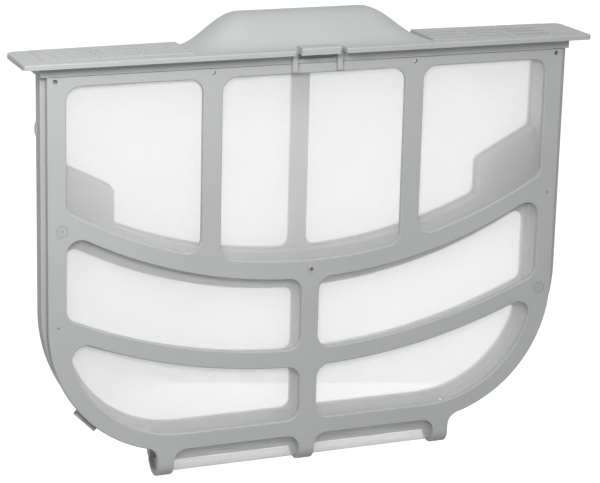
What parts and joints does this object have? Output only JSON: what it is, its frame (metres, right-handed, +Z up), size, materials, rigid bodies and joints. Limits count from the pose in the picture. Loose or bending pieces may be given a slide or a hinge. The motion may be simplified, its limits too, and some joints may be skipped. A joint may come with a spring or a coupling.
{
  "type": "tumble dryer lint filter",
  "caption": "Pocket-shaped lint filter that hangs by a slotted top flange with a moulded grip; framed mesh halves open on a bottom hinge for emptying.",
  "frame": {"origin": "middle of the flange's underside, the seat on which the filter hangs in the machine", "axes": "+X to the right along the flange, -Y towards the front half, +Z up"},
  "size_m": [0.3818, 0.045, 0.2961],
  "materials": {
    "frame_plastic": "satin",
    "mesh": "fine woven polyester"
  },
  "bodies": {
    "rear_half": {"top_flange": "frame_plastic", "rear_frame": "frame_plastic", "rear_upper_mesh": "mesh", "rear_lower_mesh": "mesh"},
    "front_half": {"front_frame": "frame_plastic", "front_mesh": "mesh"}
  },
  "joints": [
    {"name": "front_swing", "type": "hinge", "parent": "rear_half", "child": "front_half", "pos_m": [0, 0.00205, -0.2597], "axis": [1, 0, 0], "range_deg": [0, 100]}
  ]
}
